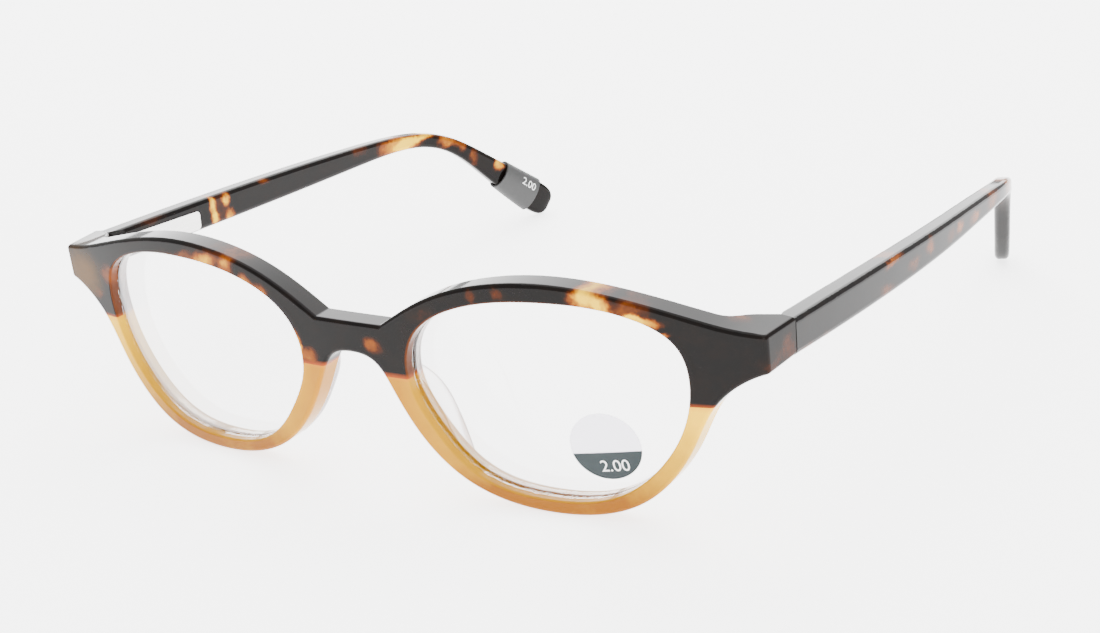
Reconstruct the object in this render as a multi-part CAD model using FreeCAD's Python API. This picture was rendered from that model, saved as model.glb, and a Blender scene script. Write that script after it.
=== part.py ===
import FreeCAD, Part
import math
import os
from FreeCAD import Vector

# Full-rim acetate reading glasses with spring hinges, standing open on the two lower rims and the
# two temple tips. +Z is up, the lenses face -Y and the temples run towards +Y. +X is the wearer's
# left. Millimetres. The model is drawn with y = 0 at the foremost point of the front, and moved
# back by ORIGIN_Y at the end, so that the origin is under the middle of the whole box.

# --- driving dimensions -------------------------------------------------------------------------
ORIGIN_Y = 66.1             # distance from the front's apex back to the middle of the box
FRONT_RADIUS = 287.0        # bow of the front, seen from above
FRONT_THICKNESS = 4.0
FRONT_LEAN = 2.74           # the top of the front leans forwards, degrees
END_HALF_WIDTH = 66.0       # half of the front's width, at its front face
END_FLARE = 0.9             # how much wider the end piece is at the temple joint
JOINT_Y = 13.6              # back face of the end pieces
JOINT_GAP = 0.2             # between end piece and temple
SPLIT_HEIGHT = 19.0         # where the dark brow sheet is laminated to the honey sheet
CORNER_RADIUS = 0.9         # upright corner between the front and each end's side
SOFT_EDGE = 0.6             # tumbled outer edges
FINE_EDGE = 0.3

# Right half of the front, as (across, up) from the middle of the bridge and the resting line.
BRIDGE_TOP = 27.1
NOTCH = (6.1, BRIDGE_TOP)
BROW = [NOTCH, (16.2, 32.8), (33.0, 35.95), (50.4, 33.45), (58.6, 31.25), (68.0, 29.7)]
BROW_START = (1.0, 0.68)
UNDERSIDE = [(68.0, 24.75), (62.1, 22.6), (58.4, 19.4), (54.4, 12.1), (46.0, 2.8), (32.0, -0.1),
             (16.9, 4.0), (10.7, 10.0), (6.6, 17.2), (3.9, 21.1), (0.0, 22.05)]
APERTURE = [(10.1, 20.6), (12.4, 26.7), (20.3, 31.3), (34.0, 33.15), (46.5, 31.8), (53.4, 27.7),
            (54.7, 20.5), (50.9, 10.9), (43.0, 4.0), (31.2, 2.15), (20.2, 4.7), (12.6, 12.9)]
# Back of the end piece seen from above: it swells from the rim's back to the joint face.
SWELL = [(57.4, 9.75), (59.1, 10.8), (61.0, 13.0), (63.2, 14.6), (65.0, 15.6)]

# Lenses: meniscus reading lenses, with a tongue in the rim's groove.
LENS_MIDDLE = (32.5, 17.8)
LENS_FRONT_RADIUS = 110.0
LENS_BACK_RADIUS = 122.0
LENS_THICKNESS = 2.2
GROOVE_DEPTH = 0.55
GROOVE_FROM, GROOVE_TO = 1.65, 2.45     # behind the front surface
TONGUE_EASE = 0.05
STICKER_MIDDLE = (41.4, 11.6)
STICKER_RADIUS = 5.3
STICKER_THICKNESS = 0.12

# Nose pads: (height, outer contour, ridge across, ridge depth behind the front surface).
PAD_STATIONS = [(20.3, 5.3, 7.2, 4.7), (18.0, 6.3, 8.6, 6.7), (15.0, 7.9, 10.4, 8.0),
                (12.0, 9.6, 12.0, 8.0), (9.0, 11.5, 13.5, 7.5), (6.5, 13.6, 15.0, 6.6),
                (4.4, 16.1, 17.0, 4.8)]
PAD_FOOT = 1.9              # width of the pad where it is bonded to the rim

# Temples: poles of the middle line as (across, back, up), and sections along it, each a share of
# its length with the height and thickness there.
TEMPLE_POLES = [(64.9, 13.8, 27.6), (66.3, 54.3, 25.8), (65.3, 82.5, 25.0), (64.7, 101.3, 24.3),
                (60.0, 111.8, 21.2), (56.7, 121.4, 10.9), (52.4, 132.5, 1.7)]
TEMPLE_SECTIONS = [(0.0, 5.4, 3.7), (0.15, 5.55, 3.65), (0.30, 5.3, 3.55), (0.45, 4.65, 3.4),
                   (0.58, 3.7, 3.2), (0.68, 3.0, 3.05), (0.78, 3.2, 2.95), (0.87, 4.9, 2.9),
                   (0.94, 6.3, 2.85), (0.975, 6.5, 2.8)]
TEMPLE_STATIONS = 26
TIP_SECTIONS = [(0.985, 6.1, 2.7), (0.992, 5.3, 2.5), (0.9965, 4.2, 2.1), (0.9995, 2.4, 1.3)]
TEMPLE_CORNER = 0.85

# Spring hinge, in its own frame: the pin along z, the plunger along y, both through the pin.
PIN_X, PIN_Y, PIN_Z = 62.2, 13.9, 27.15
HINGE_SLOPE = 2.9           # the plunger points down to the back by this, degrees
BARREL_RADIUS = 1.3
HINGE_HEIGHT = 4.4
EYE_HEIGHT = 1.8
KNUCKLE_GAP = 0.06
SCREW_RADIUS = 0.7
RUNNING_FIT = 0.05
SCREW_HEAD_RADIUS, SCREW_HEAD_HEIGHT = 1.05, 0.6
PLUNGER_X = 2.45            # plunger's middle line, outwards from the pin
PLUNGER_RADIUS = 0.6
PLUNGER_END = 19.0
PLUNGER_TRAVEL = 1.2
HOUSING_FROM, HOUSING_TO = 2.2, 22.3
HOUSING_HEIGHT = 3.4
HOUSING_DEPTH = 2.35
HOUSING_INNER = 1.22        # inner face, outwards from the pin
HOUSING_END_RADIUS = 0.8
BORE_RADIUS = 0.95
SPRING_FROM, SPRING_TO = 9.0, 17.0
SPRING_WIRE = 0.13
SPRING_TURNS = 12

# Core wire in the temple and strength sleeve on its tip, as fractions of the temple's length.
CORE_FROM, CORE_TO = 0.19, 0.90
CORE_STATIONS = 16
CORE_HEIGHT, CORE_BEND_HEIGHT = 2.2, 1.4
CORE_THICKNESS = 0.9
SLEEVE_SECTIONS = [(0.880, 6.3, 4.9), (0.917, 7.0, 4.9), (0.958, 7.7, 4.6)]
SLEEVE_WALL = 0.4

FAR = 200.0


# --- drawing helpers ----------------------------------------------------------------------------
def flat(point, depth=0.0):
    return Vector(point[0], depth, point[1])


def spline(points, start=None, end=None, closed=False):
    curve = Part.BSplineCurve()
    if closed:
        curve.interpolate(Points=points, PeriodicFlag=True)
    elif start is not None:
        curve.interpolate(Points=points, InitialTangent=start, FinalTangent=end)
    else:
        curve.interpolate(Points=points)
    return curve


def line(a, b):
    return Part.LineSegment(a, b).toShape()


def mirror(shape):
    return shape.mirror(Vector(0, 0, 0), Vector(1, 0, 0))


def lean(shape):
    """The front's own frame to the standing frame."""
    shape = shape.copy()
    shape.rotate(Vector(0, 0, 0), Vector(1, 0, 0), FRONT_LEAN)
    return shape


def box(x0, x1, y0, y1, z0, z1):
    return Part.makeBox(x1 - x0, y1 - y0, z1 - z0, Vector(x0, y0, z0))


def rod(radius, start, end):
    axis = end - start
    return Part.makeCylinder(radius, axis.Length, start, axis)


def shell_between(near, far):
    """Curved slab from near to far behind the front surface."""
    middle = Vector(0, FRONT_RADIUS, -FAR / 2)
    outer = Part.makeCylinder(FRONT_RADIUS - near, FAR, middle)
    return outer.cut(Part.makeCylinder(FRONT_RADIUS - far, FAR, middle))


def aperture_curve(grow=0.0, depth=0.0):
    curve = spline([flat(p) for p in APERTURE], closed=True)
    if grow:
        first, last = curve.FirstParameter, curve.LastParameter
        count = 40
        points = []
        for i in range(count):
            t = first + (last - first) * i / count
            point = curve.value(t)
            along = curve.tangent(t)[0]
            outward = Vector(along.z, 0, -along.x)
            middle = flat(LENS_MIDDLE)
            if outward.dot(point - middle) < 0:
                outward = outward * -1
            points.append(point + outward * grow)
        curve = spline(points, closed=True)
    curve.translate(Vector(0, depth, 0))
    return curve


def aperture_prism(grow=0.0):
    face = Part.Face(Part.Wire(aperture_curve(grow, -10).toShape()))
    return face.extrude(Vector(0, 40, 0))


# --- the front ----------------------------------------------------------------------------------
def mirrored(point):
    return (-point[0], point[1])


def front_outline():
    """Outline of the whole front: bridge line, two brows, two ends and one long underside."""
    brow = spline([flat(p) for p in BROW], flat(BROW_START), Vector(1, 0, -0.12)).toShape()
    left_half = UNDERSIDE[:-1]
    points = left_half + [UNDERSIDE[-1]] + [mirrored(p) for p in reversed(left_half)]
    under = spline([flat(p) for p in points]).toShape()
    end = line(flat(BROW[-1]), flat(UNDERSIDE[0]))
    top = line(flat(mirrored(NOTCH)), flat(NOTCH))
    edges = [top, brow, end, under, mirror(end), mirror(brow)]
    return Part.Face(Part.Wire(Part.__sortEdges__(edges)))


def bow(across, depth):
    radius = FRONT_RADIUS - depth
    return Vector(across, FRONT_RADIUS - math.sqrt(radius**2 - across**2), 0)


def front_plan():
    """The front seen from above: a bowed slab that swells into the two end pieces."""
    front_end = bow(END_HALF_WIDTH, 0)
    joint_end = Vector(END_HALF_WIDTH + END_FLARE, JOINT_Y + 3, 0)
    back_end = Vector(SWELL[-1][0], JOINT_Y + 3, 0)
    swell_start = bow(SWELL[0][0], FRONT_THICKNESS)
    swell = [swell_start] + [Vector(x, y, 0) for x, y in SWELL[1:]]
    side = [
        line(front_end, joint_end),
        line(joint_end, back_end),
        line(back_end, swell[-1]),
        spline(swell, Vector(1, 0.22, 0), Vector(1, 0.35, 0)).toShape(),
    ]
    across = Vector(-front_end.x, front_end.y, 0)
    edges = side + [mirror(e) for e in side] + [
        Part.Arc(across, Vector(0, 0, 0), front_end).toShape(),
        Part.Arc(Vector(-swell_start.x, swell_start.y, 0), bow(0, FRONT_THICKNESS),
                 swell_start).toShape(),
    ]
    face = Part.Face(Part.Wire(Part.__sortEdges__(edges)))
    face.translate(Vector(0, 0, -FAR / 2))
    slab = face.extrude(Vector(0, 0, FAR))
    corners = [e for e in slab.Edges if abs(abs(e.CenterOfMass.x) - front_end.x) < 0.01]
    return slab.makeFillet(CORNER_RADIUS, corners)


def on_depth(edge, depth):
    """Whether an edge lies in the front's curved surface at this depth."""
    span = edge.LastParameter - edge.FirstParameter
    for k in range(5):
        point = edge.valueAt(edge.FirstParameter + span * k / 4)
        radius = math.hypot(point.x, point.y - FRONT_RADIUS)
        if abs(radius - (FRONT_RADIUS - depth)) > 0.02:
            return False
    return True


def soften(shape, depth, radius):
    return shape.makeFillet(radius, [e for e in shape.Edges if on_depth(e, depth)])


def front_blank():
    """The front before lens openings, with tumbled edges, in its own frame."""
    outline = front_outline()
    outline.translate(Vector(0, -10, 0))
    blank = outline.extrude(Vector(0, 40, 0)).common(front_plan())
    trim = box(-80, 80, -20, JOINT_Y, -10, 60)
    trim.rotate(Vector(0, 0, 0), Vector(1, 0, 0), -FRONT_LEAN)
    blank = blank.common(trim)
    notches = [e for e in blank.Edges if isinstance(e.Curve, Part.Line)
               and abs(abs(e.CenterOfMass.x) - NOTCH[0]) < 0.1]
    blank = blank.makeFillet(0.5, notches)
    blank = soften(blank, 0.0, SOFT_EDGE)
    return soften(blank, FRONT_THICKNESS, 0.4)


def front_pieces():
    blank = front_blank()
    opening = aperture_prism()
    groove = aperture_prism(GROOVE_DEPTH).common(shell_between(GROOVE_FROM, GROOVE_TO))
    for side in (opening, mirror(opening)):
        blank = blank.cut(side)
    openings = [e for e in blank.Edges if e.Length > 110 and e.isClosed()]
    blank = blank.makeFillet(FINE_EDGE, openings)
    for side in (groove, mirror(groove)):
        blank = blank.cut(side)
    upper = blank.common(box(-80, 80, -20, 40, SPLIT_HEIGHT, 60))
    lower = blank.common(box(-80, 80, -20, 40, -20, SPLIT_HEIGHT))
    rims = sorted(lower.Solids, key=lambda s: s.CenterOfMass.x)
    return lean(upper), lean(rims[0]), lean(rims[1])


def lens_frame():
    """Front vertex of the left lens and the direction straight back through it."""
    turn = math.asin(LENS_MIDDLE[0] / FRONT_RADIUS)
    back = Vector(-math.sin(turn), math.cos(turn), 0)
    vertex = bow(LENS_MIDDLE[0], 0) + Vector(0, 0, LENS_MIDDLE[1])
    return vertex, back


def lens():
    vertex, back = lens_frame()
    front = Part.makeSphere(LENS_FRONT_RADIUS, vertex + back * LENS_FRONT_RADIUS)
    hollow = vertex + back * (LENS_THICKNESS + LENS_BACK_RADIUS)
    disc = aperture_prism(-TONGUE_EASE).common(front)
    disc = disc.cut(Part.makeSphere(LENS_BACK_RADIUS, hollow))
    tongue = aperture_prism(GROOVE_DEPTH - TONGUE_EASE)
    tongue = tongue.common(shell_between(GROOVE_FROM + TONGUE_EASE, GROOVE_TO - TONGUE_EASE))
    tongue = tongue.cut(aperture_prism(-1.0))
    return disc.fuse(tongue).removeSplitter()


def sticker():
    vertex, back = lens_frame()
    middle = vertex + back * LENS_FRONT_RADIUS
    inner = Part.makeSphere(LENS_FRONT_RADIUS, middle)
    outer = Part.makeSphere(LENS_FRONT_RADIUS + STICKER_THICKNESS, middle)
    centre = flat(STICKER_MIDDLE, -10)
    cut = Part.makeCylinder(STICKER_RADIUS, 20, centre, Vector(0, 1, 0))
    return cut.common(outer).cut(inner)


def nose_pad():
    """Clear fin bonded behind the nasal side of a rim."""
    wires = []
    for height, contour, ridge, depth in PAD_STATIONS:
        foot = bow(contour + 0.15, FRONT_THICKNESS)
        heel = bow(contour + 0.15 + PAD_FOOT, FRONT_THICKNESS)
        crest = bow(ridge, depth)
        slim = Vector(0.35, 0, 0)
        points = [foot, foot * 0.5 + crest * 0.5 - slim * 0.5, crest - slim, crest,
                  heel * 0.5 + crest * 0.5, heel]
        points = [Vector(p.x, p.y, height) for p in points]
        sides = spline(points).toShape()
        wires.append(Part.Wire([sides, line(points[-1], points[0])]))
    pad = Part.makeLoft(wires, True, False)
    return pad


# --- temples ------------------------------------------------------------------------------------
def temple_curve():
    curve = Part.BSplineCurve()
    curve.buildFromPoles([Vector(*p) for p in TEMPLE_POLES], False, 3)
    return curve


def smooth_sections(stations, count):
    """Evenly faired sections through the given stations."""
    fair = spline([Vector(100 * s, h, t) for s, h, t in stations])
    first, last = fair.FirstParameter, fair.LastParameter
    points = [fair.value(first + (last - first) * i / (count - 1)) for i in range(count)]
    return [(p.x / 100, p.y, p.z) for p in points]


def frame_at(curve, share):
    """Point, direction, upward and outward unit vectors at a share of the middle line."""
    t = curve.parameterAtDistance(curve.length() * share)
    along = curve.tangent(t)[0]
    side = along.cross(Vector(0, 0, 1)).normalize()
    up = side.cross(along).normalize()
    return curve.value(t), along, up, side


def rounded_section(curve, share, height, thick, corner):
    point, along, up, side = frame_at(curve, share)
    corner = min(corner, height * 0.46, thick * 0.46)
    a, b = thick / 2, height / 2
    cut = corner * (1 - math.sqrt(0.5))

    def at(x, z):
        return point + side * x + up * z

    corners = []
    for sx, sz in ((1, 1), (-1, 1), (-1, -1), (1, -1)):
        ends = [at(sx * a, sz * (b - corner)), at(sx * (a - corner), sz * b)]
        if sx * sz < 0:
            ends.reverse()
        corners.append((ends[0], at(sx * (a - cut), sz * (b - cut)), ends[1]))
    edges = []
    for k, (first, middle, last) in enumerate(corners):
        edges.append(Part.Arc(first, middle, last).toShape())
        edges.append(line(last, corners[(k + 1) % 4][0]))
    return Part.Wire(edges)


def oval_section(curve, share, height, thick):
    point, along, up, side = frame_at(curve, share)
    ring = Part.Ellipse(point + up * (height / 2), point + side * (thick / 2), point)
    return Part.Wire(ring.toShape())


def loft(curve, sections, corner):
    wires = [rounded_section(curve, s, h, t, corner) for s, h, t in sections]
    return Part.makeLoft(wires, True, False)


def temple_blank():
    sections = smooth_sections(TEMPLE_SECTIONS, TEMPLE_STATIONS) + TIP_SECTIONS
    return loft(temple_curve(), sections, TEMPLE_CORNER)


def core_wire():
    """Flat wire down the middle of the temple, slimmer at the bend."""
    sections = []
    for i in range(CORE_STATIONS):
        share = CORE_FROM + (CORE_TO - CORE_FROM) * i / (CORE_STATIONS - 1)
        waist = math.exp(-((share - 0.72) / 0.12)**2)
        height = CORE_HEIGHT + (CORE_BEND_HEIGHT - CORE_HEIGHT) * waist
        sections.append((share, height, CORE_THICKNESS))
    return loft(temple_curve(), sections, 0.4)


def sleeve():
    curve = temple_curve()
    rings = []
    for shrink in (0.0, 2 * SLEEVE_WALL):
        rings.append(Part.makeLoft([oval_section(curve, s, h - shrink, t - shrink)
                                    for s, h, t in SLEEVE_SECTIONS], True, False))
    return rings[0].cut(rings[1]).cut(temple_blank())


# --- spring hinge, drawn about its pin ----------------------------------------------------------
def place_hinge(shape):
    shape = shape.copy()
    shape.rotate(Vector(0, 0, 0), Vector(1, 0, 0), -HINGE_SLOPE)
    shape.translate(Vector(PIN_X, PIN_Y, PIN_Z))
    return shape


def pin_cylinder(radius, low, high):
    return Part.makeCylinder(radius, high - low, Vector(0, 0, low))


def hinge_leaf():
    """Anchor plate with two barrels."""
    half = HINGE_HEIGHT / 2
    eye = EYE_HEIGHT / 2 + KNUCKLE_GAP
    plate = box(-1.7, 1.5, -3.6, -1.45, -half, half)
    teeth = [box(-2.1, 1.9, y, y + 0.4, -half + 0.5, half - 0.5) for y in (-3.4, -2.6)]
    leaf = plate.fuse(teeth)
    for low, high in ((-half, -eye), (eye, half)):
        knuckle = box(-BARREL_RADIUS, BARREL_RADIUS, -1.5, 0, low, high)
        leaf = leaf.fuse([knuckle, pin_cylinder(BARREL_RADIUS, low, high)])
    bore = pin_cylinder(SCREW_RADIUS, -half - 1, half + 1)
    return leaf.cut(bore).removeSplitter()


def hinge_screw():
    half = HINGE_HEIGHT / 2
    shank = pin_cylinder(SCREW_RADIUS, -half, half - 0.15)
    head = pin_cylinder(SCREW_HEAD_RADIUS, -half - SCREW_HEAD_HEIGHT, -half)
    slot = box(-2, 2, -0.14, 0.14, -half - SCREW_HEAD_HEIGHT - 1, -half - SCREW_HEAD_HEIGHT / 2)
    return shank.fuse(head).cut(slot).removeSplitter()


def hinge_pocket():
    """Room for the leaf in the end piece, with clearance round the barrels."""
    half = HINGE_HEIGHT / 2 + 0.02
    pocket = box(-1.72, 1.52, -3.62, -1.4, -half, half)
    teeth = [box(-2.12, 1.92, y - 0.02, y + 0.42, -half + 0.5, half - 0.5) for y in (-3.4, -2.6)]
    barrels = box(-2.4, 3.5, -1.6, 3, -half, half)
    access = pin_cylinder(SCREW_HEAD_RADIUS + 0.2, -6, 0)
    return pocket.fuse(teeth + [barrels, access])


def hinge_plunger():
    """Eye on the pin, neck, and the rod that slides in the housing."""
    half = EYE_HEIGHT / 2
    eye = pin_cylinder(BARREL_RADIUS, -half, half)
    neck = box(0.3, PLUNGER_X + 0.75, 0.3, 1.9, -0.75, 0.75)
    slide = rod(PLUNGER_RADIUS, Vector(PLUNGER_X, 0.6, 0), Vector(PLUNGER_X, PLUNGER_END, 0))
    bore = pin_cylinder(SCREW_RADIUS + RUNNING_FIT, -3, 3)
    return eye.fuse([neck, slide]).cut(bore).removeSplitter()


def plunger_nut():
    start = Vector(PLUNGER_X, SPRING_TO + 0.05 + PLUNGER_TRAVEL, 0)
    collar = rod(BORE_RADIUS - 0.06, start, start + Vector(0, 0.9, 0))
    return collar.cut(rod(PLUNGER_RADIUS, start - Vector(0, 1, 0), start + Vector(0, 3, 0)))


def hinge_spring():
    """Spring at its shortest working length, which leaves the plunger its travel."""
    radius = (PLUNGER_RADIUS + BORE_RADIUS) / 2
    length = SPRING_TO - SPRING_FROM
    helix = Part.makeHelix(length / SPRING_TURNS, length, radius)
    ring = Part.Wire(Part.Circle(Vector(radius, 0, 0), Vector(0, 1, 0), SPRING_WIRE).toShape())
    coil = Part.Wire(helix.Edges).makePipeShell([ring], True, True)
    coil.rotate(Vector(0, 0, 0), Vector(1, 0, 0), -90)
    coil.translate(Vector(PLUNGER_X, SPRING_FROM, 0))
    return coil


def housing_block(ease=0.0):
    half = HOUSING_HEIGHT / 2 + ease
    inner = HOUSING_INNER - (1.0 if ease else 0.0)
    block = box(inner, HOUSING_INNER + HOUSING_DEPTH + ease, HOUSING_FROM - ease,
                HOUSING_TO + ease, -half, half)
    rounded = [e for e in block.Edges if e.CenterOfMass.y > HOUSING_TO - 0.5
               and abs(e.CenterOfMass.z) > half - 0.1 and abs(e.tangentAt(0).x) > 0.9]
    return block.makeFillet(HOUSING_END_RADIUS, rounded)


def hinge_housing():
    block = housing_block()
    collar = rod(BORE_RADIUS, Vector(PLUNGER_X, SPRING_FROM - 0.1, 0),
                 Vector(PLUNGER_X, HOUSING_TO - 0.6, 0))
    guide = rod(PLUNGER_RADIUS + RUNNING_FIT, Vector(PLUNGER_X, 0, 0),
                Vector(PLUNGER_X, SPRING_FROM, 0))
    return block.cut(collar).cut(guide)


def temple_clearance():
    """Cleared from the temple's front corner: mitre, eye, neck and housing pocket."""
    half = 6
    corner = Part.makePolygon([Vector(-3, -3, -half), Vector(2.0, -3, -half),
                               Vector(2.0, 0, -half), Vector(1.05, 3.4, -half),
                               Vector(-3, 3.4, -half), Vector(-3, -3, -half)])
    mitre = Part.Face(corner).extrude(Vector(0, 0, 2 * half))
    neck = box(-1, PLUNGER_X + 1.0, -1, HOUSING_FROM + 0.1, -1.05, 1.05)
    return mitre, [neck, housing_block(0.02)]


# --- put together -------------------------------------------------------------------------------
def left_side():
    """Every piece of the wearer's left hinge and temple, where it belongs."""
    mitre, hollows = temple_clearance()
    temple = temple_blank()
    temple = temple.common(box(40, 80, JOINT_Y + JOINT_GAP, 160, -10, 60))
    temple = temple.cut(place_hinge(mitre))
    for hollow in hollows:
        temple = temple.cut(place_hinge(hollow))
    core = core_wire().cut(place_hinge(housing_block(0.02)))
    temple = temple.cut(core)
    return {
        "front_hinge": place_hinge(hinge_leaf()),
        "hinge_screw": place_hinge(hinge_screw()),
        "hinge_plunger": place_hinge(hinge_plunger()),
        "plunger_nut": place_hinge(plunger_nut()),
        "hinge_spring": place_hinge(hinge_spring()),
        "hinge_housing": place_hinge(hinge_housing().cut(mitre)),
        "core_wire": core,
        "temple": temple,
    }


def build():
    upper, right_rim, left_rim = front_pieces()
    pocket = place_hinge(hinge_pocket())
    for side in (pocket, mirror(pocket)):
        upper = upper.cut(side)
    left_lens = lean(lens())
    left_pad = lean(nose_pad())
    nodes = {
        "front_upper": upper,
        "right_lower_rim": right_rim,
        "left_lower_rim": left_rim,
        "left_lens": left_lens,
        "right_lens": mirror(left_lens),
        "lens_power_sticker": lean(sticker()),
        "left_nose_pad": left_pad,
        "right_nose_pad": mirror(left_pad),
    }
    for name, shape in left_side().items():
        nodes["left_" + name] = shape
        nodes["right_" + name] = mirror(shape)
    nodes["strength_sleeve"] = mirror(sleeve())
    return nodes


def main():
    os.makedirs("parts", exist_ok=True)
    for name, shape in build().items():
        shape = shape.copy()
        shape.translate(Vector(0, -ORIGIN_Y, 0))
        if len(shape.Solids) == 1:
            shape = shape.Solids[0]
        shape.exportStep("parts/" + name + ".step")
        box_of = shape.BoundBox
        print(name, len(shape.Solids), shape.isValid(), round(shape.Volume, 2),
              [round(v, 2) for v in (box_of.XMin, box_of.XMax, box_of.YMin, box_of.YMax,
                                     box_of.ZMin, box_of.ZMax)])


main()
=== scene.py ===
import math
import bpy
from mathutils import Matrix, Vector
from mathutils.bvhtree import BVHTree


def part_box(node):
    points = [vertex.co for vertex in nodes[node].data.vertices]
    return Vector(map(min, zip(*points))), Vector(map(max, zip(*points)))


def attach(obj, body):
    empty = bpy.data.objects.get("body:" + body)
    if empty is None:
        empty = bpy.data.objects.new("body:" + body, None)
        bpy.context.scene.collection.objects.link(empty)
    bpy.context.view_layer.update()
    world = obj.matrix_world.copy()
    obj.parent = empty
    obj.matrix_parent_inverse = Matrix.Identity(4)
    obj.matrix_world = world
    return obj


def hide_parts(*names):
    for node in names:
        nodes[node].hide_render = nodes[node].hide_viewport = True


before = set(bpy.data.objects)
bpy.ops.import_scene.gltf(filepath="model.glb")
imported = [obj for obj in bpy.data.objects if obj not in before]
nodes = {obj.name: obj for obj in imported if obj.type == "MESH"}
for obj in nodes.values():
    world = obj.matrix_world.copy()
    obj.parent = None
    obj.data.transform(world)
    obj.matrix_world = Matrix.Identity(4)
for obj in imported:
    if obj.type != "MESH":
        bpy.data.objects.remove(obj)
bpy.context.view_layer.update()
mm = 0.001
lean = 1.26 * mm  # the top of the front leans this far ahead of its foot
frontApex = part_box("front_upper")[0][1] + lean  # depths below are behind this foot
print("frame loaded:", len(nodes), "nodes")


def place(x, y, z):  # millimetres, y behind the front's apex
    return Vector((x * mm, frontApex + y * mm, z * mm))


# shader helpers
def makeGroup(name, inputs, outputs):
    tree = bpy.data.node_groups.new(name, "ShaderNodeTree")
    for label, kind, value in inputs:
        socket = tree.interface.new_socket(label, in_out="INPUT", socket_type="NodeSocket" + kind)
        if value is not None:
            socket.default_value = value
    for label, kind in outputs:
        tree.interface.new_socket(label, in_out="OUTPUT", socket_type="NodeSocket" + kind)
    return tree, tree.nodes.new("NodeGroupInput").outputs, tree.nodes.new("NodeGroupOutput").inputs


def plug(tree, source, target):
    if isinstance(source, bpy.types.NodeSocket):
        tree.links.new(source, target)
    else:
        target.default_value = source


def math1(tree, kind, a, b=0.0, c=0.0, clamp=False):
    node = tree.nodes.new("ShaderNodeMath")
    node.operation = kind
    node.use_clamp = clamp
    for socket, value in zip(node.inputs, (a, b, c)):
        plug(tree, value, socket)
    return node.outputs[0]


def vectorMath(tree, kind, a, b=(0, 0, 0), out=0):
    node = tree.nodes.new("ShaderNodeVectorMath")
    node.operation = kind
    plug(tree, a, node.inputs[0])
    plug(tree, b, node.inputs[1])
    return node.outputs[out]


def mixColour(tree, factor, a, b):
    node = tree.nodes.new("ShaderNodeMix")
    node.data_type = "RGBA"
    plug(tree, factor, node.inputs[0])
    plug(tree, a, node.inputs[6])
    plug(tree, b, node.inputs[7])
    return node.outputs[2]


def noise(tree, vector, scale, detail=3.0, rough=0.5, out="Fac"):
    node = tree.nodes.new("ShaderNodeTexNoise")
    plug(tree, vector, node.inputs["Vector"])
    node.inputs["Scale"].default_value = scale
    node.inputs["Detail"].default_value = detail
    node.inputs["Roughness"].default_value = rough
    return node.outputs[out]


def ramp(tree, factor, stops):
    node = tree.nodes.new("ShaderNodeValToRGB")
    plug(tree, factor, node.inputs[0])
    row = node.color_ramp.elements
    while len(row) < len(stops):
        row.new(0.5)
    for element, (at, colour) in zip(row, stops):
        element.position = at
        element.color = (*colour, 1)
    return node.outputs[0]


# one soft-edged cloud of lighter resin, added to the ones before it
cloudPatch, ins, outs = makeGroup(
    "resinPatch",
    [("Place", "Vector", None), ("Centre", "Vector", None),
     ("Reach", "Vector", (0.01, 0.01, 0.01)), ("Strength", "Float", 1.0),
     ("Before", "Float", 0.0)],
    [("Warmth", "Float")])
away = vectorMath(cloudPatch, "SUBTRACT", ins["Place"], ins["Centre"])
away = vectorMath(cloudPatch, "DIVIDE", away, ins["Reach"])
away = vectorMath(cloudPatch, "LENGTH", away, out=1)
falloff = cloudPatch.nodes.new("ShaderNodeMapRange")
falloff.interpolation_type = "SMOOTHSTEP"
for socket, value in zip(falloff.inputs[1:5], (1.5, 0.35, 0.0, 1.0)):
    socket.default_value = value
cloudPatch.links.new(away, falloff.inputs[0])
near = math1(cloudPatch, "MULTIPLY", falloff.outputs[0], ins["Strength"])
cloudPatch.links.new(math1(cloudPatch, "ADD", near, ins["Before"]), outs["Warmth"])

# ragged drift of the clouds and the faint mottling between them
resinDrift, ins, outs = makeGroup(
    "resinDrift",
    [("Place", "Vector", None), ("Drift", "Float", 0.003), ("Grain", "Float", 0.35)],
    [("Place", "Vector"), ("Warmth", "Float")])
swirl = noise(resinDrift, ins["Place"], 210, 4, 0.62, "Color")
swirl = vectorMath(resinDrift, "SUBTRACT", swirl, (0.5, 0.5, 0.5))
scaled = resinDrift.nodes.new("ShaderNodeVectorMath")
scaled.operation = "SCALE"
resinDrift.links.new(swirl, scaled.inputs[0])
resinDrift.links.new(ins["Drift"], scaled.inputs["Scale"])
resinDrift.links.new(vectorMath(resinDrift, "ADD", ins["Place"], scaled.outputs[0]), outs["Place"])
mottle = math1(resinDrift, "SUBTRACT", noise(resinDrift, ins["Place"], 330, 5, 0.6), 0.5)
mottle = math1(resinDrift, "MULTIPLY", mottle, ins["Grain"])
resinDrift.links.new(mottle, outs["Warmth"])

# walls and rounded lips of the two lens openings; reach is the widest from the middle
opening = {"across": 32.4, "up": 17.6, "reach": 26.2}
openingLip, ins, outs = makeGroup(
    "openingLip",
    [("Place", "Vector", None), ("Facing", "Vector", None),
     ("Middle", "Vector", (opening["across"] * mm, 0, opening["up"] * mm))],
    [("Lip", "Float")])
across = openingLip.nodes.new("ShaderNodeSeparateXYZ")
openingLip.links.new(ins["Place"], across.inputs[0])
side = math1(openingLip, "SIGN", across.outputs[0])
facing = openingLip.nodes.new("ShaderNodeSeparateXYZ")
openingLip.links.new(ins["Facing"], facing.inputs[0])
middle = openingLip.nodes.new("ShaderNodeSeparateXYZ")
openingLip.links.new(ins["Middle"], middle.inputs[0])
inwards = openingLip.nodes.new("ShaderNodeCombineXYZ")
openingLip.links.new(math1(openingLip, "SUBTRACT", middle.outputs[0],
                           math1(openingLip, "ABSOLUTE", across.outputs[0])), inwards.inputs[0])
openingLip.links.new(math1(openingLip, "SUBTRACT", middle.outputs[2], across.outputs[2]),
                     inwards.inputs[2])
reach = vectorMath(openingLip, "LENGTH", inwards.outputs[0], out=1)
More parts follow.
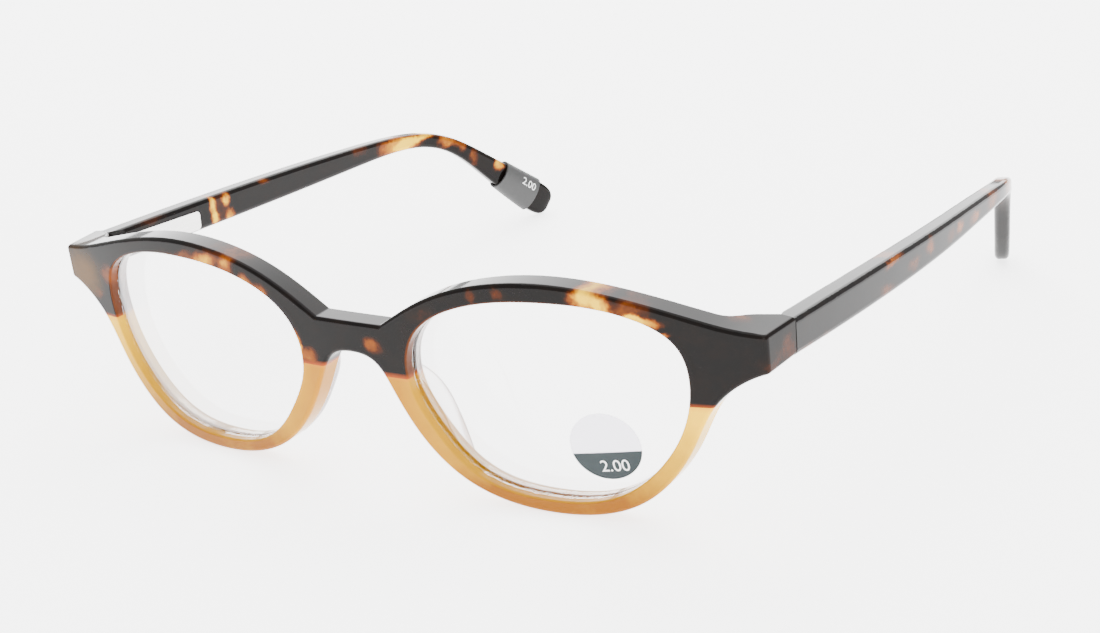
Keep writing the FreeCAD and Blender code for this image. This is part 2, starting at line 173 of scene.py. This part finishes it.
inwards = vectorMath(openingLip, "NORMALIZE", inwards.outputs[0])
turned = openingLip.nodes.new("ShaderNodeCombineXYZ")
openingLip.links.new(math1(openingLip, "MULTIPLY", facing.outputs[0], side), turned.inputs[0])
openingLip.links.new(facing.outputs[2], turned.inputs[2])
toward = vectorMath(openingLip, "DOT_PRODUCT", turned.outputs[0], inwards, out=1)
inside = math1(openingLip, "LESS_THAN", reach, opening["reach"] * mm)
toward = math1(openingLip, "MULTIPLY", toward, inside)
lip = math1(openingLip, "MULTIPLY_ADD", toward, 2.2, -0.35, clamp=True)
openingLip.links.new(lip, outs["Lip"])

# very fine waviness left by hand polishing
polishWave, ins, outs = makeGroup(
    "polishWave", [("Place", "Vector", None), ("Base", "Float", 0.08)],
    [("Roughness", "Float"), ("Height", "Float")])
hazy = noise(polishWave, ins["Place"], 260, 4, 0.6)
polishWave.links.new(math1(polishWave, "MULTIPLY_ADD", hazy, 0.08, ins["Base"]), outs["Roughness"])
polishWave.links.new(noise(polishWave, ins["Place"], 90, 2, 0.4), outs["Height"])


def useGroup(tree, group, **values):
    node = tree.nodes.new("ShaderNodeGroup")
    node.node_tree = group
    for label, value in values.items():
        plug(tree, value, node.inputs[label])
    return node.outputs


def newMaterial(name, **shaderValues):
    material = bpy.data.materials.new(name)
    material.use_nodes = True
    tree = material.node_tree
    shader = tree.nodes["Principled BSDF"]
    for label, value in shaderValues.items():
        shader.inputs[label.replace("_", " ")].default_value = value
    spot = tree.nodes.new("ShaderNodeTexCoord").outputs["Object"]
    return material, tree, shader, spot


def bump(tree, shader, height, strength, distance):
    node = tree.nodes.new("ShaderNodeBump")
    node.inputs["Strength"].default_value = strength
    node.inputs["Distance"].default_value = distance
    plug(tree, height, node.inputs["Height"])
    tree.links.new(node.outputs[0], shader.inputs["Normal"])


def polish(tree, shader, spot, base, strength=0.06):
    wave = useGroup(tree, polishWave, Place=spot, Base=base)
    tree.links.new(wave["Roughness"], shader.inputs["Roughness"])
    bump(tree, shader, wave["Height"], strength, 0.0006)


resinTones = [(0.0, (0.0035, 0.0028, 0.0025)), (0.22, (0.008, 0.004, 0.0025)),
              (0.42, (0.045, 0.009, 0.001)), (0.62, (0.19, 0.045, 0.001)),
              (0.82, (0.46, 0.19, 0.002)), (1.0, (0.82, 0.50, 0.004))]


def tortoise(name, patches, tints=(), grain=0.4, drift=0.0035, lips=False):
    material, tree, shader, spot = newMaterial(name, IOR=1.48, Specular_IOR_Level=0.10)
    moved = useGroup(tree, resinDrift, Place=spot, Drift=drift, Grain=grain)
    warmth = math1(tree, "ADD", moved["Warmth"], 0.03)
    for centre, reach, strength in patches:
        warmth = useGroup(tree, cloudPatch, Place=moved["Place"], Centre=place(*centre),
                          Reach=[r * mm for r in reach], Strength=strength,
                          Before=warmth)["Warmth"]
    colour = ramp(tree, warmth, resinTones)
    for centre, reach, strength, tint in tints:
        mask = useGroup(tree, cloudPatch, Place=moved["Place"], Centre=place(*centre),
                        Reach=[r * mm for r in reach], Strength=strength)["Warmth"]
        colour = mixColour(tree, math1(tree, "ADD", mask, 0.0, clamp=True), colour, (*tint, 1))
    if lips:
        facing = tree.nodes.new("ShaderNodeNewGeometry").outputs["Normal"]
        edge = useGroup(tree, openingLip, Place=spot, Facing=facing)
        colour = mixColour(tree, math1(tree, "MULTIPLY", edge["Lip"], 0.45), colour,
                           (0.16, 0.035, 0.002, 1))
        height = tree.nodes.new("ShaderNodeSeparateXYZ")
        tree.links.new(spot, height.inputs[0])
        # red glow just above the joint with the honey rims
        glow = math1(tree, "MULTIPLY_ADD", height.outputs[2], -1100, 21.8, clamp=True)
        glow = math1(tree, "MULTIPLY", glow, 0.8)
        colour = mixColour(tree, glow, colour, (0.42, 0.07, 0.004, 1))
    tree.links.new(colour, shader.inputs["Base Color"])
    polish(tree, shader, spot, 0.03)
    return material


# the front's clouds: (across, depth, up), reach, strength
frontClouds = [
    ((-54.5, 8, 27.0), (2.0, 30, 2.2), 0.42),
    ((-59.0, 8, 23.0), (2.0, 30, 1.5), 0.40),
    ((-33.0, 1, 33.4), (3.4, 8, 1.3), 0.46),
    ((-28.0, 1, 32.9), (2.6, 8, 1.6), 0.66),
    ((-23.6, 1, 32.6), (1.6, 8, 1.8), 0.56),
    ((-20.0, 1, 30.8), (2.0, 8, 1.5), 0.68),
    ((-16.8, 1, 29.8), (1.8, 8, 1.9), 0.60),
    ((-24.5, 2, 34.6), (6.0, 8, 1.3), 0.44),
    ((-38.0, 2, 33.2), (3.0, 8, 1.0), 0.24),
    ((-10.4, 2, 21.8), (0.9, 12, 2.6), 0.80),
    ((-8.4, 2, 20.2), (2.2, 12, 1.5), 0.60),
    ((11.0, 2, 20.6), (1.2, 12, 2.2), 0.42),
    ((4.4, 1, 23.4), (1.8, 12, 1.5), 0.55),
    ((14.0, 1, 29.6), (2.4, 12, 1.4), 0.24),
    ((23.0, 2, 33.4), (1.0, 12, 1.2), 0.36),
    ((27.5, 2, 33.9), (1.2, 12, 1.2), 0.38),
    ((40.6, 2, 34.6), (2.0, 12, 2.4), 0.92),
    ((43.4, 2, 33.4), (1.4, 12, 2.0), 0.86),
    ((47.2, 3, 33.2), (2.6, 12, 1.6), 0.46),
    ((48.5, 3, 31.6), (3.4, 12, 0.8), 0.78),
    ((51.6, 3, 29.8), (1.6, 12, 0.7), 0.70),
    ((65.5, 12, 26.5), (1.6, 2.5, 3.0), 0.44),
    ((60.0, 9.5, 30.2), (2.6, 2.0, 1.6), 0.46),
    ((65.5, 8, 25.5), (1.4, 1.8, 2.2), 0.36),
]
frontTints = [((-62.0, 8, 26.4), (5.0, 9, 4.0), 1.0, (0.080, 0.036, 0.006)),
              ((-9.0, 4, 13.6), (2.6, 12, 3.4), 0.55, (0.30, 0.075, 0.002))]
# outer side of the left temple: (across, depth, up)
leftClouds = [
    ((65, 16, 24.6), (6, 3.6, 1.2), 0.56),
    ((65, 22, 24.4), (6, 3.2, 0.9), 0.44),
    ((66, 43, 24.6), (6, 3.2, 1.3), 0.44),
    ((66, 46, 28.6), (6, 4.0, 0.8), 0.55),
    ((66, 53.4, 25.8), (6, 2.6, 1.3), 0.44),
    ((66, 59.5, 26.6), (6, 2.4, 1.5), 0.50),
    ((66, 68.3, 25.1), (6, 2.6, 1.3), 0.40),
    ((66, 73, 25.7), (6, 2.2, 1.3), 0.54),
    ((65, 80.5, 24.8), (6, 2.8, 1.6), 0.54),
    ((65, 90, 25.0), (6, 4.0, 2.0), 0.48),
    ((63, 101, 24.6), (6, 5.0, 2.6), 0.56),
    ((59, 113, 20.0), (6, 2.6, 3.4), 0.42),
    ((55, 126, 9.0), (6, 2.6, 3.4), 0.26),
]
# inner side of the right temple
rightClouds = [
    ((-65, 24, 30.0), (6, 4.0, 1.4), 0.30),
    ((-65, 40.0, 28.0), (6, 1.3, 1.4), 0.74),
    ((-65, 40.4, 25.2), (6, 1.2, 1.5), 0.72),
    ((-65, 44.0, 27.6), (6, 1.0, 1.2), 0.66),
    ((-65, 44.4, 24.6), (6, 1.3, 1.3), 0.66),
    ((-65, 42.2, 26.2), (6, 2.6, 3.4), 0.34),
    ((-65, 55, 28.0), (6, 2.0, 0.8), 0.46),
    ((-65, 84, 26.4), (6, 3.0, 1.6), 0.36),
    ((-64, 94.5, 24.4), (6, 5.0, 2.4), 0.74),
    ((-64, 99, 23.4), (6, 3.6, 1.6), 0.70),
    ((-63, 104, 24.6), (6, 4.0, 1.3), 0.90),
    ((-61, 108.5, 22.0), (6, 2.6, 1.6), 0.66),
    ((-60, 111.5, 20.2), (6, 1.6, 1.2), 0.55),
    ((-58, 114.4, 17.2), (6, 1.4, 1.6), 0.44),
    ((-56, 120.6, 13.9), (6, 1.5, 1.7), 0.84),
]
frontResin = tortoise("frontTortoise", frontClouds, frontTints, lips=True)
leftResin = tortoise("leftTempleTortoise", leftClouds, grain=0.55)
rightResin = tortoise("rightTempleTortoise", rightClouds, grain=0.5)

# honey rims: a light band beside the opening and a deeper one on the outside
honey = {"light": (0.84, 0.48, 0.002, 1), "deep": (0.23, 0.076, 0.0008, 1),
         "milky": (0.50, 0.25, 0.002, 1), "orange": (0.36, 0.135, 0.0006, 1)}
honeyResin, tree, shader, spot = newMaterial(
    "honeyResin", IOR=1.48, Specular_IOR_Level=0.1, Subsurface_Weight=0.05, Subsurface_Scale=0.002)
shader.inputs["Subsurface Radius"].default_value = (1.0, 0.5, 0.2)
split = tree.nodes.new("ShaderNodeSeparateXYZ")
tree.links.new(spot, split.inputs[0])
rise = math1(tree, "MULTIPLY_ADD", split.outputs[2], 62, -0.12, clamp=True)
drift = noise(tree, spot, 150, 4, 0.6)
rise = math1(tree, "MULTIPLY_ADD", math1(tree, "SUBTRACT", drift, 0.5), 0.7, rise, clamp=True)
colour = mixColour(tree, rise, honey["deep"], honey["light"])
across = math1(tree, "ABSOLUTE", split.outputs[0])
nasal = math1(tree, "MULTIPLY_ADD", across, -90, 1.75, clamp=True)  # 1 within 8 mm of the middle
colour = mixColour(tree, math1(tree, "MULTIPLY", nasal, 0.9), colour, honey["orange"])
facing = tree.nodes.new("ShaderNodeNewGeometry").outputs["Normal"]
edge = useGroup(tree, openingLip, Place=spot, Facing=facing)
colour = mixColour(tree, math1(tree, "MULTIPLY", edge["Lip"], 0.5), colour, honey["milky"])
# warm line just below the joint with the dark bar
seam = math1(tree, "MULTIPLY_ADD", split.outputs[2], 900, -16.6, clamp=True)
colour = mixColour(tree, math1(tree, "MULTIPLY", seam, 0.5), colour, (0.70, 0.16, 0.01, 1))
tree.links.new(colour, shader.inputs["Base Color"])
polish(tree, shader, spot, 0.06)

# lenses: nearly clear, a little stronger where they are seen edge on
lensGlass, tree, shader, spot = newMaterial(
    "lensGlass", IOR=1.5, Transmission_Weight=1.0, Roughness=0.0)
shader.inputs["Base Color"].default_value = (0.97, 0.985, 1.0, 1)
weight = tree.nodes.new("ShaderNodeLayerWeight")
weight.inputs["Blend"].default_value = 0.25
rimTone = math1(tree, "MULTIPLY_ADD", weight.outputs["Facing"], 0.5, 0.05, clamp=True)
tree.links.new(rimTone, shader.inputs["Alpha"])
haze = noise(tree, spot, 120, 3)
tree.links.new(math1(tree, "MULTIPLY", haze, 0.02), shader.inputs["Roughness"])

# nose pads: clear with a faint warm tint in the thick part
padClear, tree, shader, spot = newMaterial(
    "padClear", IOR=1.47, Transmission_Weight=0.7, Coat_Weight=0.2)
weight = tree.nodes.new("ShaderNodeLayerWeight")
weight.inputs["Blend"].default_value = 0.72
tint = mixColour(tree, weight.outputs["Facing"], (0.90, 0.84, 0.90, 1), (0.12, 0.035, 0.018, 1))
# warm line along the ridge, which is furthest back near 13 mm up
pad = {"ridgeDepth": 7.42, "ridgeHeight": 13.0, "bow": 0.032, "sharpness": 3.2, "strength": 0.62}
split = tree.nodes.new("ShaderNodeSeparateXYZ")
tree.links.new(spot, split.inputs[0])
climb = math1(tree, "MULTIPLY_ADD", split.outputs[2], 1 / mm, -pad["ridgeHeight"])
bow = math1(tree, "MULTIPLY", math1(tree, "MULTIPLY", climb, climb), pad["bow"])
depth = math1(tree, "MULTIPLY_ADD", split.outputs[1], 1 / mm, -frontApex / mm - pad["ridgeDepth"])
ridge = math1(tree, "MULTIPLY", math1(tree, "ADD", depth, bow), pad["sharpness"], clamp=True)
tint = mixColour(tree, ridge, tint, (0.16, 0.05, 0.022, 1))
tree.links.new(tint, shader.inputs["Base Color"])
rim = math1(tree, "POWER", weight.outputs["Facing"], 2.0)
rim = math1(tree, "MULTIPLY_ADD", rim, 1.3, 0.05)
tree.links.new(math1(tree, "MULTIPLY_ADD", ridge, pad["strength"], rim, clamp=True),
               shader.inputs["Alpha"])
polish(tree, shader, spot, 0.02)

# metals
brushed, tree, shader, spot = newMaterial("brushedMetal", Metallic=1.0)
stretch = tree.nodes.new("ShaderNodeMapping")
stretch.inputs["Scale"].default_value = (1, 0.12, 1)
tree.links.new(spot, stretch.inputs[0])
streak = noise(tree, stretch.outputs[0], 2600, 3)
tree.links.new(mixColour(tree, streak, (0.62, 0.60, 0.58, 1), (0.86, 0.85, 0.83, 1)),
               shader.inputs["Base Color"])
tree.links.new(math1(tree, "MULTIPLY_ADD", streak, 0.2, 0.16), shader.inputs["Roughness"])
bump(tree, shader, streak, 0.15, 0.0001)

# strength sleeve and label
sleeveSkin, tree, shader, spot = newMaterial("sleevePlastic", IOR=1.45, Specular_IOR_Level=0.35)
speck = noise(tree, spot, 900, 3)
tree.links.new(mixColour(tree, speck, (0.031, 0.031, 0.031, 1), (0.042, 0.042, 0.042, 1)),
               shader.inputs["Base Color"])
tree.links.new(math1(tree, "MULTIPLY_ADD", speck, 0.15, 0.38), shader.inputs["Roughness"])
bump(tree, shader, speck, 0.12, 0.0001)

label = {"middle": (41.4, 11.6), "chord": (41.4, 10.8), "tilt": 7.2}
labelFilm, tree, shader, spot = newMaterial("labelFilm", IOR=1.45, Specular_IOR_Level=0.3)
split = tree.nodes.new("ShaderNodeSeparateXYZ")
tree.links.new(spot, split.inputs[0])
slope = math.tan(math.radians(label["tilt"]))
line = math1(tree, "MULTIPLY_ADD", split.outputs[0], -slope,
             -(label["chord"][1] - slope * label["chord"][0]) * mm)
upper = math1(tree, "MULTIPLY", math1(tree, "ADD", split.outputs[2], line), 20000, clamp=True)
fleck = noise(tree, spot, 700, 3)
slate = mixColour(tree, fleck, (0.007, 0.014, 0.016, 1), (0.011, 0.020, 0.022, 1))
tree.links.new(mixColour(tree, upper, slate, (0.84, 0.80, 0.92, 1)), shader.inputs["Base Color"])
tree.links.new(math1(tree, "MULTIPLY_ADD", upper, -0.60, 1.0), shader.inputs["Alpha"])
tree.links.new(math1(tree, "MULTIPLY_ADD", fleck, 0.15, 0.28), shader.inputs["Roughness"])

inkWhite, tree, shader, spot = newMaterial("inkWhite")
grain = noise(tree, spot, 1500, 2)
tree.links.new(mixColour(tree, grain, (0.80, 0.80, 0.80, 1), (0.92, 0.92, 0.92, 1)),
               shader.inputs["Base Color"])
tree.links.new(math1(tree, "MULTIPLY_ADD", grain, 0.2, 0.4), shader.inputs["Roughness"])
print("materials built")

# finishes on the CAD pieces
finishes = {"front_upper": frontResin, "left_temple": leftResin, "right_temple": rightResin,
            "left_lower_rim": honeyResin, "right_lower_rim": honeyResin,
            "left_lens": lensGlass, "right_lens": lensGlass,
            "left_nose_pad": padClear, "right_nose_pad": padClear,
            "strength_sleeve": sleeveSkin, "lens_power_sticker": labelFilm}
for name, piece in nodes.items():
    finish = finishes.get(name, brushed)
    if not piece.material_slots:
        piece.data.materials.append(finish)
    for materialSlot in piece.material_slots:
        materialSlot.material = finish
print("finishes placed")


# hinge springs: a coil that winds along the plunger
spring = {"turns": 12.0, "radius": 0.775, "length": 7.7, "wire": 0.13, "slope": 2.9}
coilTree = bpy.data.node_groups.new("hingeCoil", "GeometryNodeTree")
coilTree.interface.new_socket("Geometry", in_out="INPUT", socket_type="NodeSocketGeometry")
coilInputs = {label: coilTree.interface.new_socket(
    label, in_out="INPUT", socket_type="NodeSocketFloat")
    for label in ("Turns", "Radius", "Length", "Wire")}
coilTree.interface.new_socket("Geometry", in_out="OUTPUT", socket_type="NodeSocketGeometry")
given = coilTree.nodes.new("NodeGroupInput").outputs
winding = coilTree.nodes.new("GeometryNodeCurveSpiral")
winding.inputs["Resolution"].default_value = 24
coilTree.links.new(given["Turns"], winding.inputs["Rotations"])
coilTree.links.new(given["Radius"], winding.inputs["Start Radius"])
coilTree.links.new(given["Radius"], winding.inputs["End Radius"])
coilTree.links.new(given["Length"], winding.inputs["Height"])
wireRing = coilTree.nodes.new("GeometryNodeCurvePrimitiveCircle")
wireRing.inputs["Resolution"].default_value = 8
coilTree.links.new(given["Wire"], wireRing.inputs["Radius"])
swept = coilTree.nodes.new("GeometryNodeCurveToMesh")
swept.inputs["Fill Caps"].default_value = True
coilTree.links.new(winding.outputs[0], swept.inputs["Curve"])
coilTree.links.new(wireRing.outputs[0], swept.inputs["Profile Curve"])
whole = coilTree.nodes.new("GeometryNodeRealizeInstances")
coilTree.links.new(swept.outputs[0], whole.inputs[0])
finished = coilTree.nodes.new("GeometryNodeSetMaterial")
finished.inputs["Material"].default_value = brushed
coilTree.links.new(whole.outputs[0], finished.inputs[0])
coilTree.links.new(finished.outputs[0], coilTree.nodes.new("NodeGroupOutput").inputs[0])


def coilSpring(side):
    holder = bpy.data.objects.new(side + "Winding", bpy.data.meshes.new(side + "Winding"))
    bpy.context.scene.collection.objects.link(holder)
    modifier = holder.modifiers.new("coil", "NODES")
    modifier.node_group = coilTree
    sizes = {"Turns": spring["turns"], "Radius": spring["radius"] * mm,
             "Length": spring["length"] * mm, "Wire": spring["wire"] * mm}
    for label, value in sizes.items():
        modifier[coilInputs[label].identifier] = value
    bpy.context.view_layer.update()
    mesh = bpy.data.meshes.new_from_object(
        holder.evaluated_get(bpy.context.evaluated_depsgraph_get()))
    holder.modifiers.remove(modifier)
    bpy.data.objects.remove(holder)
    low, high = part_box(side + "_hinge_spring")
    middle = (Vector(low) + Vector(high)) / 2
    mesh.transform(Matrix.Translation((0, 0, -spring["length"] * mm / 2)))
    lie = Matrix.Rotation(math.radians(-90 - spring["slope"]), 4, "X")
    mesh.transform(Matrix.Translation(middle) @ lie)
    piece = bpy.data.objects.new(side + "Spring", mesh)
    bpy.context.scene.collection.objects.link(piece)
    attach(piece, side + "_arm")
    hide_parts(side + "_hinge_spring")
    print(piece.name, len(mesh.polygons), "faces")


for side in ("left", "right"):
    coilSpring(side)
print("springs wound")


# printed numerals, wrapped onto the face below them
def numerals(name, text, size, origin, along, up, onto, body, lift=0.00004):
    curve = bpy.data.curves.new(name, "FONT")
    curve.body = text
    curve.size = size
    curve.align_x = curve.align_y = "CENTER"
    curve.resolution_u = 6
    holder = bpy.data.objects.new(name + "Curve", curve)
    bpy.context.scene.collection.objects.link(holder)
    bpy.context.view_layer.update()
    mesh = bpy.data.meshes.new_from_object(
        holder.evaluated_get(bpy.context.evaluated_depsgraph_get()))
    bpy.data.objects.remove(holder)
    along, up = along.normalized(), up.normalized()
    outwards = along.cross(up)
    turn = Matrix((along, up, outwards)).transposed().to_4x4()
    mesh.transform(Matrix.Translation(origin) @ turn)
    below = nodes[onto]
    tree = BVHTree.FromPolygons([v.co.copy() for v in below.data.vertices],
                                [tuple(p.vertices) for p in below.data.polygons])
    for vertex in mesh.vertices:
        hit = tree.ray_cast(vertex.co + outwards * 0.01, -outwards, 0.03)[0]
        if hit:
            vertex.co = hit + outwards * lift
    piece = bpy.data.objects.new(name, mesh)
    bpy.context.scene.collection.objects.link(piece)
    mesh.materials.clear()
    mesh.materials.append(inkWhite)
    thick = piece.modifiers.new("ink", "SOLIDIFY")
    thick.thickness = 0.00003
    thick.offset = -1
    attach(piece, body)


tilt = math.radians(label["tilt"])
numerals("labelNumerals", "2.00", 0.0026, place(42.5, 0, 8.7),
         Vector((math.cos(tilt), 0, math.sin(tilt))), Vector((-math.sin(tilt), 0, math.cos(tilt))),
         "lens_power_sticker", "front")
sleeveRun = Vector((-0.25, 3.8, -3.5)).normalized()
sleeveFace = Vector((1, 0.07, 0)) - Vector((1, 0.07, 0)).dot(sleeveRun) * sleeveRun
numerals("sleeveNumerals", "2.00", 0.0023, place(-52, 126.35, 8.0), sleeveRun,
         sleeveFace.cross(sleeveRun), "strength_sleeve", "right_arm")
print("numerals placed")

# floor, light and camera
floorSkin, tree, shader, spot = newMaterial("floorWhite", Roughness=0.9, Emission_Strength=3.2)
shader.inputs["Emission Color"].default_value = (1, 1, 1, 1)
faint = noise(tree, spot, 3, 2)
tree.links.new(mixColour(tree, faint, (0.90, 0.90, 0.90, 1), (0.93, 0.93, 0.93, 1)),
               shader.inputs["Base Color"])
bpy.ops.mesh.primitive_plane_add(size=8, location=(0, 0, -0.0001))
floor = bpy.context.object
floor.name = "floor"
floor.data.transform(floor.matrix_world)
floor.matrix_world = Matrix.Identity(4)
floor.data.materials.append(floorSkin)

world = bpy.data.worlds.new("tent")
bpy.context.scene.world = world
world.use_nodes = True
world.node_tree.nodes["Background"].inputs["Color"].default_value = (1, 1, 1, 1)
world.node_tree.nodes["Background"].inputs["Strength"].default_value = 1.4

lamps = {"overhead": ((0.0, 0.1, 0.9), (0, 0, 0), 1.0, 9.0),
         "key": ((0.8, -0.9, 0.7), (0, 0, 0.02), 0.7, 6.0),
         "rear": ((-0.7, 1.3, 0.95), (0, 0, 0.02), 1.8, 70.0)}
for name, (spotAt, aim, size, power) in lamps.items():
    lamp = bpy.data.lights.new(name, "AREA")
    lamp.size = size
    lamp.energy = power
    holder = bpy.data.objects.new(name, lamp)
    holder.location = spotAt
    holder.rotation_euler = (Vector(aim) - Vector(spotAt)).to_track_quat("-Z", "Y").to_euler()
    bpy.context.scene.collection.objects.link(holder)

view = {"place": (175.411, -204.739, 119.920), "azimuth": 34.266, "elevation": 19.588,
        "roll": -5.265, "lens": 62.14}
az, el, roll = (math.radians(view[k]) for k in ("azimuth", "elevation", "roll"))
back = Vector((math.sin(az) * math.cos(el), -math.cos(az) * math.cos(el), math.sin(el)))
right0 = (-back).cross(Vector((0, 0, 1))).normalized()
up0 = right0.cross(-back)
right = math.cos(roll) * right0 + math.sin(roll) * up0
up = -math.sin(roll) * right0 + math.cos(roll) * up0
lens = bpy.data.cameras.new("camera")
lens.lens = view["lens"]
lens.sensor_width = 36
lens.sensor_fit = "HORIZONTAL"
lens.clip_start = 0.01
camera = bpy.data.objects.new("camera", lens)
camera.matrix_world = Matrix.Translation(place(*view["place"])) @ Matrix(
    (right, up, back)).transposed().to_4x4()
bpy.context.scene.collection.objects.link(camera)
bpy.context.scene.camera = camera
print("stage set")
